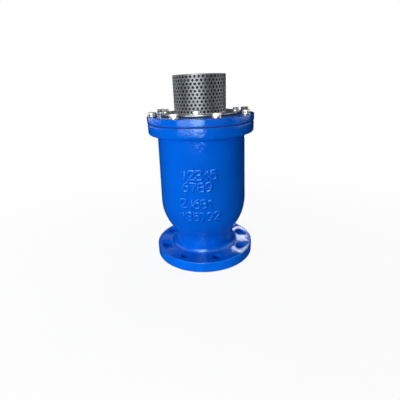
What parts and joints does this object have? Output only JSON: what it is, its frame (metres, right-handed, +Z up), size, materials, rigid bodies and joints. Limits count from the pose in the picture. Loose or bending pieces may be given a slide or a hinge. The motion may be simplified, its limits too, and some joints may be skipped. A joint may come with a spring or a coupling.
{
  "type": "air release valve",
  "caption": "Flanged cast air release valve with a bell-shaped barrel, bolted cover, perforated outlet strainer and an inner float, lever and plug that vent air and hold water.",
  "frame": {"origin": "centre of the inlet flange's raised face, which is the lowest point of the part", "axes": "+Z up along the valve axis, towards the strainer; -Y is the front"},
  "size_m": [0.22, 0.22, 0.3852],
  "materials": {
    "blue_epoxy": "glossy blue epoxy coating on cast iron",
    "gasket_sheet": "matt gasket sheet",
    "zinc_steel": "zinc-plated steel",
    "strainer_steel": "dull perforated stainless sheet",
    "stainless": "turned stainless steel",
    "moulding": "moulded dark plastic",
    "rubber": "black rubber",
    "brass": "machined brass"
  },
  "bodies": {
    "valve": {"body": "blue_epoxy", "cover_gasket": "gasket_sheet", "cover": "blue_epoxy", "cover_washers": "zinc_steel", "cover_bolts": "zinc_steel", "strainer_gasket": "gasket_sheet", "strainer_plate": "strainer_steel", "strainer_sleeve": "strainer_steel", "strainer_cap": "strainer_steel", "strainer_washers": "zinc_steel", "strainer_screws": "zinc_steel", "seat_ring": "stainless", "seat_screws": "zinc_steel", "guide_rods": "stainless", "guide_ring": "stainless", "rod_nuts": "zinc_steel"},
    "plug": {"plug": "moulding", "plug_seal": "rubber", "seal_retainer": "stainless", "retainer_screws": "zinc_steel", "nozzle": "brass", "nozzle_nut": "zinc_steel", "lever_bracket": "stainless", "bracket_screws": "zinc_steel", "lever_pin": "stainless", "lever_pin_clips": "stainless"},
    "lever": {"lever": "brass", "button_holder": "brass", "orifice_button": "rubber", "holder_nut": "zinc_steel"},
    "float": {"float_ball": "stainless", "float_clevis": "stainless", "float_pin": "stainless", "float_pin_clips": "stainless"}
  },
  "joints": [
    {"name": "plug_lift", "type": "slide", "parent": "valve", "child": "plug", "axis": [0, 0, 1], "range_m": [0, 0.028]},
    {"name": "lever_swing", "type": "hinge", "parent": "plug", "child": "lever", "pos_m": [-0.04198, 0, 0.22934], "axis": [0, -1, 0], "range_deg": [0, 12]},
    {"name": "float_hang", "type": "hinge", "parent": "lever", "child": "float", "pos_m": [-0.00092, 0, 0.22061], "axis": [0, -1, 0], "range_deg": [-12, 0]}
  ],
  "couplings": [
    {"joint": "float_hang", "follows": "lever_swing", "ratio": -1}
  ]
}
